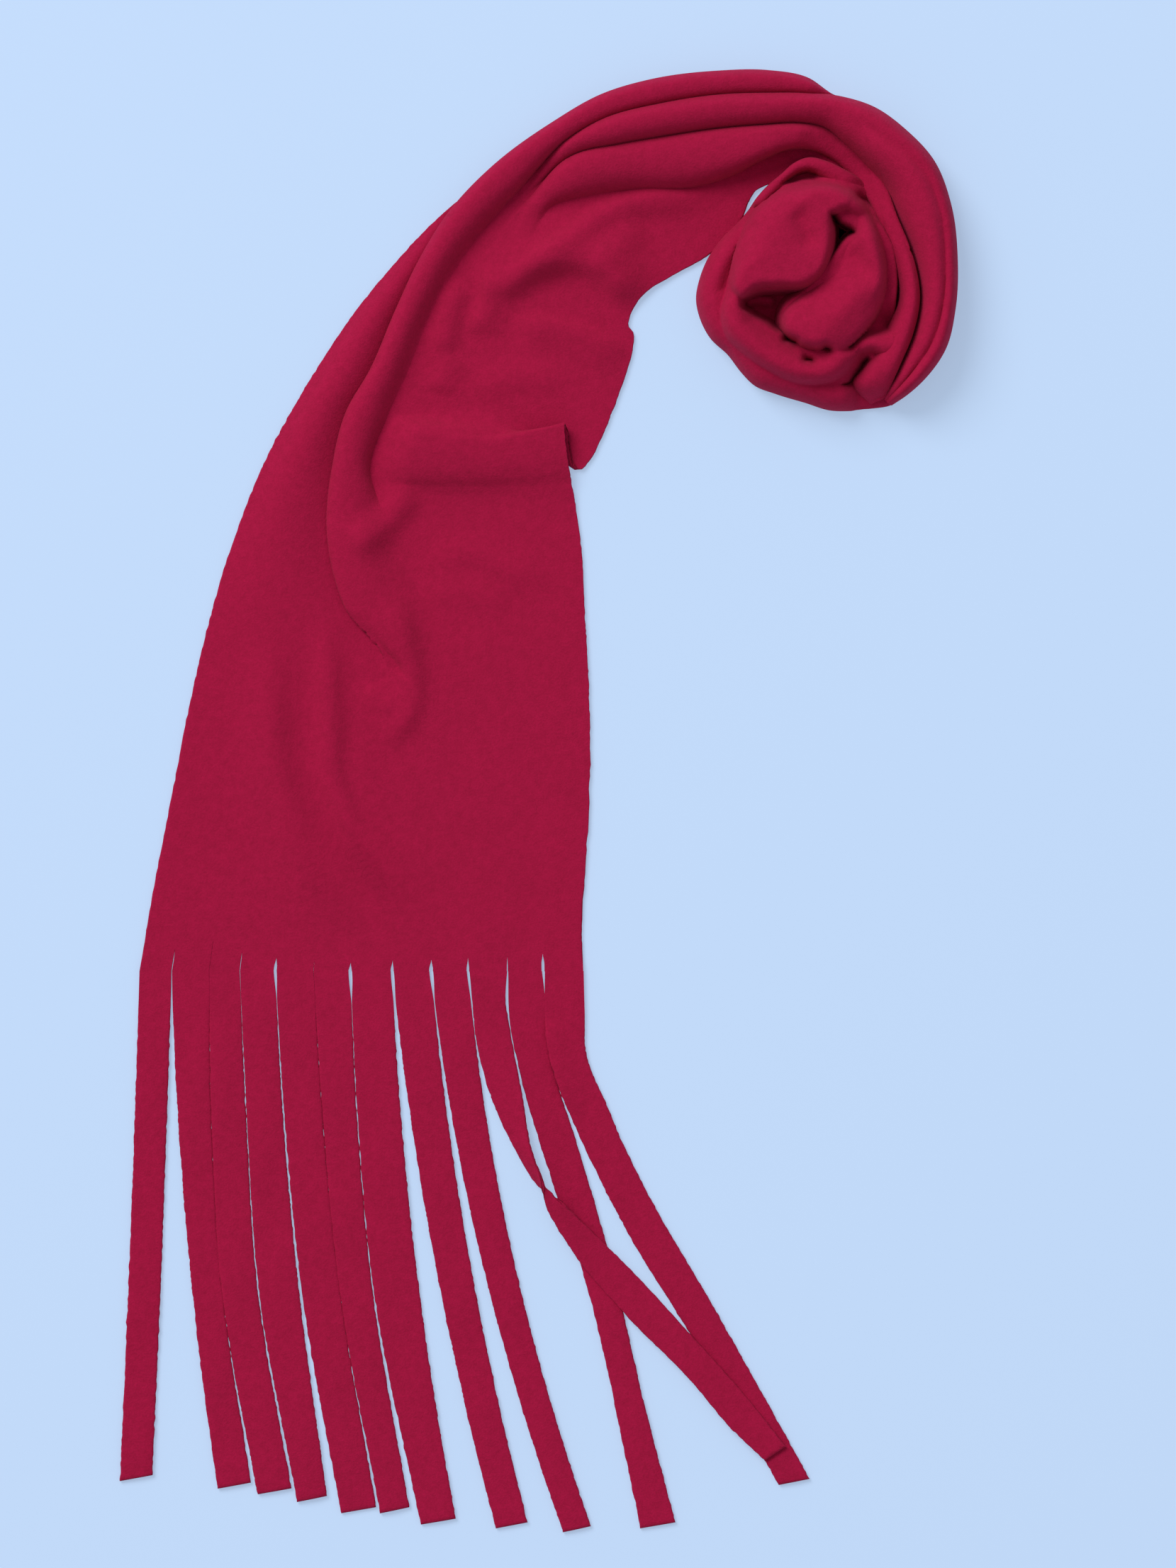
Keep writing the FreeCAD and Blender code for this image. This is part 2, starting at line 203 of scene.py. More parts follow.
def inside_depth(plan, points):
    """How deep each plan point is inside a closed smooth outline. Negative outside."""
    distance = line_distance(plan, points, True)[0]
    line = smooth_line(points, True)[0][::COARSE]
    after = np.roll(line, -1, axis=0)
    inside = np.zeros(len(plan), bool)
    for a, b in zip(line, after):
        crosses = (a[1] > plan[:, 1]) != (b[1] > plan[:, 1])
        reach = (b[0] - a[0]) * (plan[:, 1] - a[1]) / (b[1] - a[1] + 1e-12) + a[0]
        inside ^= crosses & (plan[:, 0] < reach)
    return np.where(inside, distance, -distance)


def ripple(plan, scale, seed):
    """Soft, even noise from a few crossed waves, about -1 to 1."""
    rng = np.random.default_rng(seed)
    total = np.zeros(plan.shape[:-1])
    for _ in range(8):
        angle = rng.uniform(0, 2 * math.pi)
        wave = 2 * math.pi / (scale * rng.uniform(0.7, 1.6))
        phase = rng.uniform(0, 2 * math.pi)
        run = plan[..., 0] * math.cos(angle) + plan[..., 1] * math.sin(angle)
        total += np.sin(wave * run + phase)
    return total / 3.2


# -------- meshes
def cloth_piece(name, points, faces, material, edge_share=None):
    """A piece of fleece from its middle surface, with its thickness and soft cut edges."""
    mesh = bpy.data.meshes.new(name)
    mesh.from_pydata((np.asarray(points) * MM).tolist(), [], [list(map(int, f)) for f in faces])
    mesh.validate()
    mesh.materials.append(material)
    piece = bpy.data.objects.new(name, mesh)
    bpy.context.scene.collection.objects.link(piece)
    thick = piece.modifiers.new("thickness", "SOLIDIFY")
    thick.thickness = bpy.context.scene.scarf.thickness
    thick.offset = 0
    if edge_share is not None:
        group = piece.vertex_groups.new(name="edge")
        rounded = np.round(edge_share, 2)
        for share in np.unique(rounded):
            group.add(np.where(rounded == share)[0].tolist(), float(share), "REPLACE")
        thick.vertex_group = "edge"
        thick.thickness_vertex_group = 0.0
    graph = bpy.context.evaluated_depsgraph_get()
    solid = bpy.data.meshes.new_from_object(piece.evaluated_get(graph))
    piece.modifiers.clear()
    piece.vertex_groups.clear()
    piece.data = solid
    solid.name = name
    bpy.data.meshes.remove(mesh)
    solid.polygons.foreach_set("use_smooth", np.ones(len(solid.polygons), bool))
    solid.set_sharp_from_angle(angle=SHARP)
    solid.update()
    if not len(solid.polygons):
        raise RuntimeError(f"{name} has no faces")
    return piece


def grid_faces(rows, columns):
    """The four-cornered faces of a grid, row by row."""
    number = np.arange(rows * columns).reshape(rows, columns)
    return np.stack([number[:-1, :-1], number[:-1, 1:], number[1:, 1:], number[1:, :-1]], axis=-1)


def finer_edges(grid):
    """The grid with more columns close inside each long edge."""
    def near(a, b, distance):
        run = b - a
        length = np.maximum(np.linalg.norm(run, axis=1, keepdims=True), 1e-6)
        return a + run * np.minimum(distance / length, 0.45)
    left = [near(grid[:, 0], grid[:, 1], d)[:, None] for d in FINE_AT]
    right = [near(grid[:, -1], grid[:, -2], d)[:, None] for d in reversed(FINE_AT)]
    return np.concatenate([grid[:, :1], *left, grid[:, 1:-1], *right, grid[:, -1:]], axis=1)


def edge_softness(rows, columns, start=0):
    """Thickness shares that round the two long edges off, from a row on."""
    share = np.ones((rows, columns))
    for column, value in enumerate(SOFT_EDGE):
        share[start:, column] = value
        share[start:, columns - 1 - column] = value
    return share


# -------- fleece
def fill(node, **values):
    """Set a node's inputs. An underscore stands for a space in their names."""
    for name, value in values.items():
        node.inputs[name.replace("_", " ")].default_value = value
    return node


def fleece():
    """Red polar fleece: matte, with a short brushed pile that has pilled a little."""
    found = bpy.data.materials.get("red fleece")
    if found:
        return found
    material = bpy.data.materials.new("red fleece")
    material.use_nodes = True
    nodes = material.node_tree.nodes
    links = material.node_tree.links
    settings = bpy.context.scene.scarf
    place = nodes.new("ShaderNodeTexCoord")

    def noise(scale, detail, roughness=0.5):
        texture = nodes.new("ShaderNodeTexNoise")
        links.new(place.outputs["Object"], texture.inputs["Vector"])
        return fill(texture, Scale=scale, Detail=detail, Roughness=roughness)

    shader = fill(nodes["Principled BSDF"], Roughness=0.95, Specular_IOR_Level=0.15, Sheen_Weight=0.12,
                  Sheen_Roughness=0.6, Sheen_Tint=(0.9, 0.12, 0.25, 1))
    pile = noise(900, 4, 0.7)
    clumps = noise(260, 3)
    broad = noise(28, 4)
    both = nodes.new("ShaderNodeMath")
    both.operation = "MULTIPLY_ADD"
    both.inputs[1].default_value = 0.55
    links.new(clumps.outputs["Fac"], both.inputs[0])
    links.new(pile.outputs["Fac"], both.inputs[2])
    # Painted light and shade: the value that raises the bump also picks the colour. The pile's high
    # points get the lighter pile colour as painted light, and its hollows get the darker ground colour
    # as painted shade. The noise also gives random mottling.
    painted_pile_shading = fill(nodes.new("ShaderNodeMapRange"), From_Min=0.35, From_Max=1.2, To_Min=0, To_Max=1)
    links.new(both.outputs[0], painted_pile_shading.inputs["Value"])
    colour = nodes.new("ShaderNodeMix")
    colour.data_type = "RGBA"
    fill(colour, A=(*settings.base, 1), B=(*settings.crest, 1))
    links.new(painted_pile_shading.outputs["Result"], colour.inputs["Factor"])
    drift = nodes.new("ShaderNodeMix")
    drift.data_type = "RGBA"
    drift.blend_type = "MULTIPLY"
    fill(drift, Factor=0.1)
    links.new(colour.outputs["Result"], drift.inputs["A"])
    links.new(broad.outputs["Fac"], drift.inputs["B"])
    links.new(drift.outputs["Result"], shader.inputs["Base Color"])
    bump = fill(nodes.new("ShaderNodeBump"), Strength=0.5, Distance=settings.pile)
    links.new(both.outputs[0], bump.inputs["Height"])
    links.new(bump.outputs["Normal"], shader.inputs["Normal"])
    return material


# -------- the laid cloth
# Stations 0 to 12 are the open panel, 12 to 20 the arc of long folds, 20 to 30 the coil's outer turn.
OUTER_EDGE = dict(enumerate([
    (-211, -90), (-202.5, -40), (-192.5, 10), (-183.7, 55), (-178, 80), (-171.3, 106), (-157.5, 148),
    (-144.4, 180), (-130.5, 206), (-116, 230), (-95.6, 260), (-76.3, 283.5), (-52, 309), (-24, 331),
    (9, 350), (37, 363.5), (62, 371), (95, 376), (121, 376), (140, 371.5), (152, 363), (165, 354),
    (183, 341), (196, 326), (204, 308), (208, 286), (207, 263), (202, 243), (194, 231), (187, 221),
    (183, 214)]))
LIP_A = dict(enumerate([
    (-95, -90), (-97, -40), (-93, 10), (-88, 52), (-91, 79), (-103, 104), (-111, 146), (-108, 177),
    (-101, 205), (-88, 228), (-74.8, 259), (-62.5, 285.3), (-47, 310.3), (-22.5, 336), (7.5, 357.8),
    (33.8, 372.8), (60, 380.6), (95, 385), (121, 385.3), (142, 381.4), (157, 371), (170, 361),
    (187, 348.5), (201, 332), (209.5, 311), (213, 287), (212, 263), (206.5, 242), (198, 229),
    (189.5, 218.5), (184, 212.5)]))
CREASE_A = {
    0: (-65, -90), 1: (-66, -40), 2: (-60, 10), 3: (-52, 50), 4: (-53, 76), 5: (-62, 109),
    6: (-78, 147), 6.6: (-86, 161), 7: (-89.5, 172), 8: (-80.5, 203), 9: (-69.5, 227.5),
    10: (-57.3, 257.3), 11: (-45, 280), 12: (-30, 301.5), 13: (-10, 324.5), 14: (13.5, 349),
    15: (38.6, 361.7), 16: (62.5, 367.6), 17: (96.5, 372.8), 18: (121, 373.6), 19: (141, 373.5),
    20: (161, 371.2), 21: (176.5, 366.2), 22: (193.6, 354), 23: (208.2, 338), 24: (217.1, 314.8),
    25: (220.4, 287), 26: (219.4, 261.2), 27: (214, 239), 28: (204.2, 224.9), 29: (194.2, 215.7),
    30: (186, 210.2)}
CREASE_B = dict(enumerate([
    (-30, -90), (-30, -40), (-28, 10), (-26, 53), (-30, 80), (-40, 110), (-52, 146), (-59, 170),
    (-54, 201), (-48, 226), (-43, 255), (-36, 279), (-23.5, 301), (-4, 322.3), (19.5, 342), (42, 346.7),
    (65, 350.6), (97, 355), (120, 356.8), (138, 357.7), (150, 355.8), (161.6, 347.4), (173.2, 336.3),
    (182.2, 325.2), (188.6, 308.6), (196.6, 288.6), (200.4, 266), (196.6, 246.6), (190.3, 231.6),
    (185.7, 221), (182.4, 213.7)]))
CREASE_C = {
    0: (0, -90), 1: (0, -40), 2: (0, 10), 3: (2, 54), 4: (0, 82), 5: (-6, 110), 6: (-16, 145),
    7: (-22, 170), 8: (-24, 198), 9: (-20, 222), 10: (-14, 249), 11: (-10, 272), 12: (-3, 295),
    13: (6, 314), 14: (27, 320.6), 15: (51, 323.8), 16: (76, 324), 17: (102, 331.5), 18: (119, 340.3),
    19: (132, 345.3), 20: (142.5, 345.3), 21: (154, 341), 22: (165, 332), 23: (174, 320.5),
    24: (181.5, 305), 25: (189.5, 284), 26: (191.5, 265), 27: (186, 251), 28: (178.5, 236.5),
    28.5: (172.5, 228), 29: (167, 221), 30: (176, 210.5)}
FREE_EDGE = {
    0: (23.6, -90), 0.5: (22.9, -66), 1: (24.4, -40), 1.5: (26.1, -16), 2: (27.1, 12), 3: (26.9, 52),
    4: (25.7, 78), 5: (24.4, 101), 6: (22.4, 136), 6.6: (19.6, 156), 7: (16.5, 174), 7.35: (14.4, 188),
    7.6: (13.7, 197.5), 7.7: (13.9, 199.3), 7.8: (14.6, 198), 8: (16.3, 187), 8.15: (18.3, 178),
    8.25: (20.2, 175.6), 8.35: (22.6, 175.6), 8.5: (26.2, 179.2), 8.8: (33.8, 193.1),
    9.2: (39.8, 208.1), 9.7: (46.5, 226.9), 10.1: (50.4, 243), 10.2: (50.2, 247.5), 10.33: (47.6, 251),
    10.5: (48.7, 257.5), 10.8: (55, 267.5), 11.3: (70, 277.3), 12: (90, 288.8), 12.7: (101, 298.5),
    13.4: (108.3, 309.5), 14: (111.2, 317.3), 14.5: (114, 322), 15: (119, 325), 16: (126, 327),
    17: (133, 327), 18: (139, 325), 19: (144, 322), 20: (148, 318), 21: (152, 313), 22: (155, 307),
    23: (158, 300), 24: (160, 292), 25: (161, 283), 26: (161, 273), 27: (160, 262), 28: (159, 250),
    29: (160, 236), 30: (168, 219)}


def fold(lip, crease, high, low, lap, strength, flatness):
    """Control points of one fold's section: its hidden turn, its lip, its back and its foot.
    lip and crease are plan points. Each of the rest is one number, or one for each row."""
    run = crease - lip
    wide = np.maximum(np.linalg.norm(run, axis=1), 0.5)
    run = run / wide[:, None]
    rise = high - low
    folded = [
        (lap * 0.5, low),
        (lap + 0.5, low + 0.2),
        (lap + 2.2, low + 1.8),
        (lap * 0.7, low + 3.2),
        (3.4, low + 3.2),
        (-0.3, low + 3.6),
        (-0.3, low + rise * 0.66),
        (1.0 + wide * 0.06, low + rise * 1.00),
        (wide * 0.26, low + rise * 1.08),
        (wide * (0.50 + 0.06 * flatness), low + rise * (1.02 + 0.03 * flatness)),
        (wide * (0.73 + 0.10 * flatness), low + rise * (0.72 + 0.20 * flatness)),
        (wide * (0.90 + 0.07 * flatness), low + rise * (0.24 + 0.20 * flatness)),
        (wide, low + rise * 0.0),
    ]
    columns = []
    for k, (s, z) in enumerate(folded):
        flat = wide * k / (len(folded) - 1)
        s = s * strength + flat * (1 - strength)
        z = z * strength + low * (1 - strength)
        columns.append(np.column_stack([lip + run * s[:, None], z]))
    return columns


def row_stations():
    """Where the rows of the grid lie, closer together where the cloth is pleated."""
    parts = ((0, 0.5, 16), (0.5, 6.6, 92), (6.6, 9.2, 92), (9.2, 12, 50), (12, 20, 84))
    spans = [np.linspace(first, last, count, endpoint=False) for first, last, count in parts]
    return np.concatenate([*spans, np.linspace(20, 30, 90)])


def laid_grid():
    """The laid cloth's middle surface, in millimetres."""
    rows = row_stations()
    guides = (OUTER_EDGE, LIP_A, CREASE_A, CREASE_B, CREASE_C, FREE_EDGE)
    outer, lip_a, crease_a, crease_b, crease_c, free = (guide(line, rows) for line in guides)
    base = np.full(len(rows), LEVEL)

    def vary(table):
        return amount(table, rows)

    strength_a = vary({0: 0, 3.2: 0, 3.8: 0.25, 4.2: 0.6, 5: 0.95, 6: 1, 19: 1, 20: 0.4, 21: 0, 30: 0})
    high_a = vary({0: 3, 3: 4, 4: 5.5, 5: 7, 6: 8.5, 7: 10, 8: 10.5, 10: 10.2, 12: 11.5, 16: 15, 19: 16,
                   20: 12, 21: 4, 30: 2})
    lap_a = vary({0: 6, 6: 13, 13: 13, 16: 9, 20: 3, 30: 1})
    strength_b = vary({0: 0, 12.8: 0, 13.4: 0.3, 14: 0.8, 15: 1, 30: 1})
    high_b = vary({0: 2, 13: 7, 14: 13, 15: 17, 17: 19, 19: 21, 21: 26, 23: 29, 26: 28, 28: 24, 29: 19,
                   30: 9})
    low_b = vary({0: LEVEL, 13: LEVEL, 15: 2.5, 18: 3, 21: 1.5, 30: 1.5})
    lap_b = vary({0: 2, 13: 2, 15: 6, 20: 7, 30: 6})
    strength_c = vary({0: 0, 11.5: 0, 12.3: 0.2, 13: 0.55, 13.7: 0.9, 15: 1, 30: 1})
    high_c = vary({0: 2, 10: 3, 12: 6, 13: 9, 14: 12.5, 16: 14, 17: 16.5, 18: 17.5, 19: 16, 20: 12,
                   21: 8, 22: 6, 23: 9.5, 24: 16.5, 26: 25, 28: 24.5, 29: 19, 30: 8})
    low_c = vary({0: LEVEL, 14: LEVEL, 18: 1.4, 22: 2, 23: 7, 24: 14, 25: 17, 26: 16, 27: 14, 28: 15,
                  30: 6})
    lap_c = vary({0: 2, 13: 2, 15: 5, 30: 4})

    turn = lip_a + (crease_a - lip_a) * 0.3 * strength_a[:, None]
    hump = vary({0: 0, 3: 0.5, 5: 3.5, 6: 6, 8: 7.5, 9.5: 7, 11: 4, 12: 1.2, 13: 0, 30: 0})
    columns = []
    for share, lift in ((0, 0), (0.1, 0.3), (0.25, 0.8), (0.42, 1), (0.6, 0.8), (0.78, 0.3),
                        (0.92, 0.03)):
        place = outer + (turn - outer) * share
        columns.append(np.column_stack([place, base + hump * lift]))
    flat_a = vary({0: -0.7, 6: -0.7, 6.8: 0.5, 8: 0, 9.5: -0.4, 11: -0.4, 12: 0, 14: 1, 30: 1})
    columns += fold(lip_a, crease_a, high_a, base, lap_a, strength_a, flat_a)
    columns += fold(crease_a, crease_b, high_b, low_b, lap_b, strength_b, 0.5)
    flat_c = vary({0: 0.3, 15: 0.3, 18: 1.3, 22: 1.3, 24: 0, 30: 0.3})
    columns += fold(crease_b, crease_c, high_c, low_c, lap_c, strength_c, flat_c)
    for share in (0.03, 0.09, 0.18, 0.29, 0.41, 0.53, 0.65, 0.77, 0.88, 0.96, 1.0):
        place = crease_c + (free - crease_c) * share
        columns.append(np.column_stack([place, base]))
    net = np.stack(columns, axis=1)
    grid = b_spline(net, SHEET_COLUMNS)
    return rows, grid


# The low swells and dents of the open cloth: a line, a height, how far it fades to the line's left
# and right, and the share of the line over which each end fades in.
SWELLS = [
    ([(-142, 95), (-141, 50), (-137, 12), (-126, -20), (-110, -48), (-88, -72)], 4.6, 7.5, 15, 0.3),
    ([(-114, 104), (-112, 70), (-110.5, 45), (-110, 15), (-100, -12), (-84, -38), (-64, -60)],
     4.6, 6.5, 6, 0.25),
    ([(-92, 45), (-92, 10), (-80, -18), (-62, -40), (-50, -55)], 1.3, 7, 14, 0.3),
    ([(-74, 114), (-73, 96), (-70, 80), (-66.5, 62), (-69, 47), (-80, 34), (-90, 29)],
     3.2, 6.5, 11, 0.25),
    ([(-92, 62), (-84, 52), (-74, 48)], 2, 5, 4, 0.3),
    ([(-84.5, 66), (-82, 62)], -2.2, 4, 4, 0.3),
    ([(-65, 168), (-82, 147), (-103, 131)], 4.6, 8, 9, 0.25),
    ([(-62, 128), (-34, 131), (-12, 122), (10, 118)], 1.8, 8, 8, 0.3),
    ([(-66, 108), (-34, 110), (-10, 102)], 1.2, 8, 8, 0.3),
    ([(-24, 262), (-13, 277), (4, 286), (20, 287), (35, 281), (46, 270), (54, 259)], 7, 14, 8, 0.2),
    ([(-18.5, 275), (0, 288), (18, 300), (36, 312), (54, 318), (78, 319), (98, 318)],
     4.6, 4.5, 9, 0.25),
    ([(26, 282), (44, 296), (58, 308)], 3, 9, 9, 0.3),
    ([(-57, 232), (-50, 246), (-46, 262), (-40, 280)], 3.2, 6.5, 7, 0.3),
    ([(-36, 244), (-28, 262), (-24, 284)], 3.4, 5, 10, 0.3),
    ([(-16, 254), (12, 251), (34, 243), (50, 235)], 3.2, 3.6, 12, 0.25),
    ([(-40, 216), (-10, 224), (20, 222)], 1.8, 8, 8, 0.3),
    ([(-54, 214), (-50, 226), (-44, 238)], 2.2, 7, 9, 0.3),
]


def soft_relief(grid, rows):
    """The swells and dents, added to the height of the cloth."""
    shape = grid.shape[:2]
    plan = grid[:, :, :2].reshape(-1, 2)
    across = np.linspace(0, 1, shape[1])[None, :] * np.ones((shape[0], 1))
    station = rows[:, None] * np.ones((1, shape[1]))
    lift = np.zeros(len(plan))

    for points, height, left, right, fade in SWELLS:
        distance, side, share = line_distance(plan, points)
        ends = ease(share, 0, fade) * ease(1 - share, 0, fade)
        lift += height * ends * bell(distance, np.where(side > 0, left, right))
    open_part = ((across > 0.33) & (station < 12.8)) | (across > 0.84)
    open_part |= (across < 0.12) | (station < 3.6) | ((across > 0.245) & (station < 6.9))
    weight = open_part.astype(float)
    for _ in range(6):
        weight[1:-1, 1:-1] = (weight[1:-1, 1:-1] * 2 + weight[:-2, 1:-1] + weight[2:, 1:-1]
                              + weight[1:-1, :-2] + weight[1:-1, 2:]) / 6
    grid[:, :, 2] += lift.reshape(shape) * weight * ease(19.0 - station, 0, 3)
    return grid


def cross_pleat(grid, rows):
    """The pleat across the panel: the cloth rises to a lip, turns back under it and runs on."""
    shape = grid.shape[:2]
    across = np.linspace(0, 1, shape[1])[None, :]
    start = ease(across, 0.345, 0.52)
    lapped = ease(across, 0.55, 0.95)
    low = {0: 0, 6.3: 0, 6.6: 0.5, 6.85: 2.2, 7.05: 5.2, 7.25: 7.0, 7.55: 8.0, 7.72: 8.1}
    open_fall = amount({**low, 7.85: 7.0, 8.0: 2.4, 8.1: 0.5, 8.25: 0, 30: 0}, rows)
    under_fall = amount({**low, 7.8: 5.0, 8.0: 3.0, 8.15: 2.2, 8.3: 0.6, 8.5: 0, 30: 0}, rows)
    over = open_fall[:, None] * (1 - lapped) + under_fall[:, None] * lapped
    grid[:, :, 2] += over * start
    return grid


def ring_groove(grid, rows):
    """A soft second crease along the back of the coil's outer turn."""
    shape = grid.shape[:2]
    across = np.linspace(0, 1, shape[1])[None, :]
    middle = amount({0: 0.515, 20: 0.515, 22: 0.503, 24: 0.492, 25: 0.496, 26: 0.501, 28: 0.51,
                     30: 0.515}, rows)[:, None]
    deep = amount({0: 0, 20.5: 0, 22: 2.4, 24: 3.6, 26: 4, 28: 4, 30: 1}, rows)[:, None]
    grid[:, :, 2] -= deep * bell(across - middle, 0.0095)
    dent = amount({0: 0, 17: 0, 19: 1.0, 20: 3.0, 21: 2.4, 22: 0, 30: 0}, rows)[:, None]
    grid[:, :, 2] -= dent * bell(across - 0.525, 0.03)
    return grid


def settle(plan, height):
    """Bring plan places in by their height: from the eye above, high parts look further out."""
    return EYE_PLACE + (plan - EYE_PLACE) * (1 - height / EYE_HEIGHT)[..., None]


def align_to_cuts(grid, rows, cut_columns):
    """Near the fringe, put columns of the grid on the cuts between the strips."""
    count = grid.shape[1]
    ends = PANEL_LEFT + np.concatenate([[0], np.cumsum([s[0] for s in STRIPS])])
    wanted = np.interp(np.arange(count), cut_columns, (ends - ends[0]) / (ends[-1] - ends[0]))
    for r in range(len(rows)):
        hold = 1 - ease(rows[r], 0.35, 1.6)
        if hold <= 0:
            break
        travel = travelled(grid[r])
        natural = travel / travel[-1]
        share = (natural * (1 - hold) + wanted * hold) * travel[-1]
        grid[r] = places(grid[r], travel, share)
    return grid


def gape(number, y):
    """Half the gap of a cut at a height along the scarf."""
    top, wide = CUTS[number]
    below = np.maximum(top - y, 0)
    return 0.06 + wide / 2 * ease(below, 0, 5) * (1 - ease(below, 7, 24))


def fuzz(grid, amplitude, seed):
    """Push the two long edges in and out a little, as scissors and loose fibres leave them."""
    reach = min(EDGE_REACH, grid.shape[1] // 2)
    for first, step, s in ((0, 1, seed), (-1, -1, seed + 1)):
        edge = grid[:, first].copy()
        outward = edge - grid[:, first + step * (reach - 1)]
        outward[:, 2] = 0
        outward /= np.maximum(np.linalg.norm(outward, axis=1, keepdims=True), 1e-6)
        wave = ripple(edge[:, :2], 7.0, s) * 0.6 + ripple(edge[:, :2], 3.2, s + 50) * 0.6
        push = outward * (wave * amplitude)[:, None]
        for k in range(reach):
            column = grid[:, first + step * k]
            distance = np.linalg.norm(column[:, :2] - edge[:, :2], axis=1)
            column += push * np.clip(1 - distance / EDGE_FADE, 0, 1)[:, None]
    return grid


def laid_mesh():
    """Points, faces and edge thickness of the laid cloth, with the cuts split open."""
    rows, grid = laid_grid()
    grid = soft_relief(grid, rows)
    grid = cross_pleat(grid, rows)
    grid = ring_groove(grid, rows)
    grid[:, :, :2] = settle(grid[:, :, :2], grid[:, :, 2] - LEVEL)
    count = grid.shape[1]
    cut_columns = np.round(np.linspace(0, count - 1, len(STRIPS) + 1)).astype(int)
    grid = align_to_cuts(grid, rows, cut_columns)
    grid = finer_edges(grid)
    cut_columns = cut_columns[1:-1] + len(FINE_AT)
    height, width = grid.shape[:2]
    hold = ease(rows, 0.1, 0.5)[:, None]
    rough = fuzz(grid.copy(), bpy.context.scene.scarf.roughness / MM, 3)
    grid = grid * (1 - hold[:, :, None]) + rough * hold[:, :, None]
    grid[:, :, 2] = np.maximum(grid[:, :, 2], LEVEL)
    number = np.arange(height * width).reshape(height, width)
    faces = grid_faces(height, width)
    points = grid.reshape(-1, 3).copy()
    extra = []
    for k, column in enumerate(cut_columns):
        split = np.where(grid[:, column, 1] < CUTS[k][0])[0]
        for r in split:
            half = gape(k, grid[r, column, 1])
            old = number[r, column]
            new = len(points) + len(extra)
            extra.append(points[old] + (half, 0, 0))
            points[old, 0] -= half
            if r > 0:
                faces[r - 1, column, 3] = new
            faces[r, column, 0] = new
    points = np.concatenate([points, np.array(extra)])
    share = np.ones(len(points))
    share[:height * width] = edge_softness(height, width, 4).ravel()
    points[:, :2] += SHIFT
    return points, faces.reshape(-1, 4), share


# -------- the rose at the heart of the coil
ROSE_EDGE = [
    (142.9, 339.6), (151, 338), (160, 334), (170, 328), (178, 318), (184, 305), (187.5, 290),
    (189, 275), (188, 262), (187, 250), (190, 238), (194, 225), (192.5, 214.6), (187, 209.9),
    (177, 207.9), (165, 207.3), (154.5, 207.6), (141.3, 211.6), (125.4, 216.4), (114.8, 220.6),
    (108.1, 227.2), (101, 236.5), (91.5, 245.6), (86.6, 254.8), (84.3, 265.4), (86.3, 276.5),
    (91.5, 288.5), (98, 297.5), (104.5, 303.8), (111, 311), (116.5, 319), (122.5, 325.5), (129, 331),
    (136, 337)]
# The tube of cloth that runs round the rose, from the flap on the right to the mouth on the left.
ROSE_BAND = [
    (98.9, 270.7), (95.5, 257.5), (98.2, 246.9), (106.8, 237.6), (121.4, 227), (134.6, 221.1),
    (146.6, 219.7), (156.5, 221.5), (162.5, 225.5), (167.5, 231.2), (171.5, 236.2), (176.5, 236.8),
    (184, 234), (192, 238), (194, 250), (189, 250.5), (182.5, 248.6), (171, 246.6), (164.5, 241),
    (172, 248.5), (179.5, 257), (182.8, 268), (182.8, 285), (178, 303), (171.5, 316), (164, 323.5),
    (154.5, 326.7), (141.3, 325.7), (128, 322.4), (116.1, 313.8), (108, 300), (102, 285)]
# The low floor between the rose and the turn of cloth on its right.
POCKET = [
    (170, 311), (178, 307.5), (185, 298), (190.5, 286), (194.5, 270), (195, 256), (190, 247),
    (180, 244), (170, 243), (168, 252), (170, 270), (170, 290), (167, 302)]
LEFT_LOBE = [
    (116, 312), (128, 321.5), (141, 325), (152, 325.8), (161, 323.5), (167, 318.5), (166, 313.8),
    (160.5, 312), (156.2, 309), (155.8, 300), (154.5, 289.3), (149.2, 277.8), (141.3, 272.4),
    (128, 272.2), (114.8, 270.9), (107.5, 265.5), (103, 270), (103, 282), (108, 298)]
CENTRE_LOBE = [
    (161.5, 323), (169, 318), (175.5, 308), (180.5, 296), (182.9, 284), (182.8, 272), (179.2, 260),
    (172.5, 249.5), (164.5, 241.5), (157, 236.5), (150, 238.8), (140, 241), (131.5, 246.5),
    (129.2, 253), (131, 259.5), (136.5, 265), (144.5, 272), (151, 281), (158, 291), (164, 297.5),
    (168, 302), (163.5, 310), (159.5, 315)]
MOUTH = [
    (105, 265.5), (113, 270.6), (128, 272.5), (141, 273), (147, 275.5), (140, 268), (132, 262),
    (129.5, 255), (132, 245), (126, 246.5), (119, 251.5), (111, 256), (105.5, 260)]
FLAP_SLOT = [
    (158.5, 219.8), (163.5, 223.6), (167.6, 229.6), (171.5, 235.4), (175.2, 236.6), (176.6, 234.2),
    (173.2, 228.4), (168.6, 222), (164.4, 218.2)]
EYE = [
    (153.4, 311.8), (156.6, 312.2), (161.2, 307.2), (167.4, 303.6), (169.6, 300.6), (164.4, 297.2),
    (158, 289.6), (152.6, 283), (154.6, 292), (155.2, 302)]
LOOP_SLOT = [
    (127.5, 327), (132, 331), (137.5, 334.4), (143, 335), (146.6, 332.8), (147.2, 327.8), (141, 327.4),
    (133, 325.6)]


# Lower than anything, so that a fold counts for nothing beyond its outline.
OUTSIDE = -100.0
# Short dents in the rose: a line, then the depth and the half-width.
ROSE_DENTS = [
    ([(131.5, 244.4), (136.5, 242.6)], 15, 2.4),
    ([(141.5, 233.4), (145.5, 232.6)], 11, 2.2),
    ([(152, 240), (154, 239)], 11, 2.3),
    ([(139, 308), (143, 298)], 3.8, 6),
    ([(168, 287), (172, 280)], 3.6, 6),
    ([(113, 303), (107, 291), (101.5, 280), (98.5, 270)], 3.4, 3.8),
]
